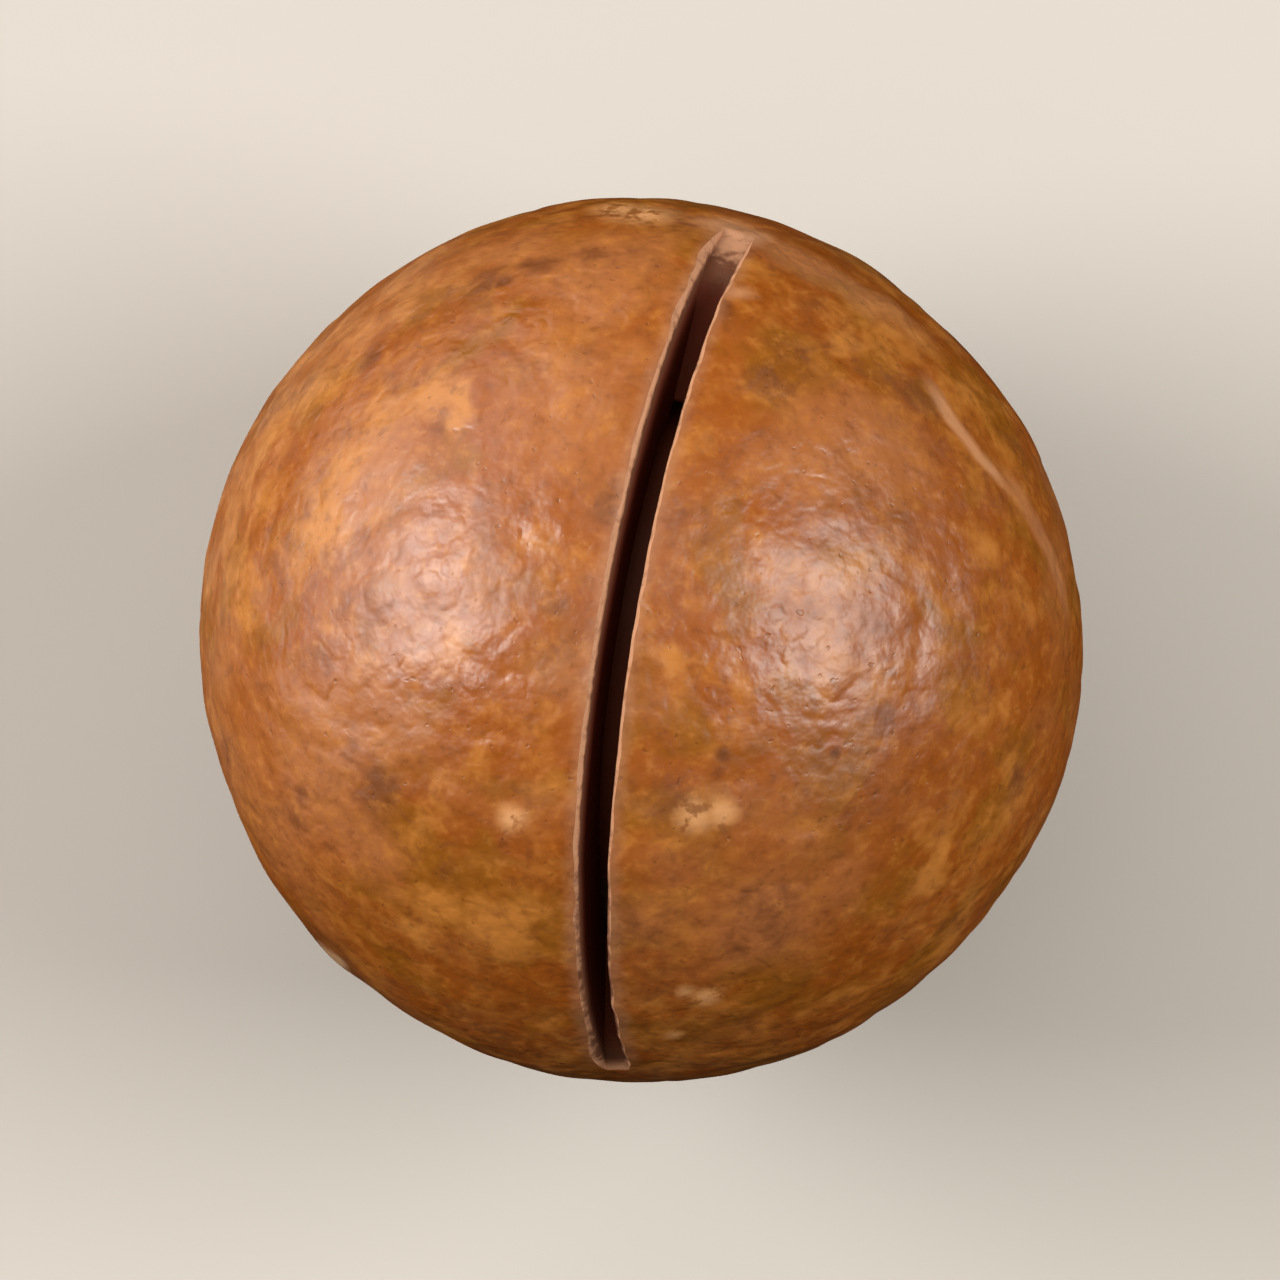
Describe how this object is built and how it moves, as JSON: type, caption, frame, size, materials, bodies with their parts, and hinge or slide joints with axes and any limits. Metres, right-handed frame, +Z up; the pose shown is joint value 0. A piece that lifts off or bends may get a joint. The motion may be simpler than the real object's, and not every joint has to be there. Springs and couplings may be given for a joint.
{
  "type": "macadamia nut in shell",
  "caption": "Round brown nut in its hard woody shell, with a narrow sawn slit across the top for an opener key and a loose cream kernel inside.",
  "frame": {"origin": "middle of the small flat spot that the nut rests on, at the surface", "axes": "+Z up, out through the slit's middle; +Y towards the slit's far end, as in the picture seen from above; +X to the right, towards the side with the scar"},
  "size_m": [0.0249, 0.025, 0.0249],
  "materials": {
    "shell_wood": "satin brown woody shell with paler tan flecks and darker haze",
    "kernel_flesh": "smooth cream nut flesh with a faint waxy sheen"
  },
  "bodies": {
    "root": {"shell": "shell_wood", "kernel": "kernel_flesh"}
  },
  "joints": []
}
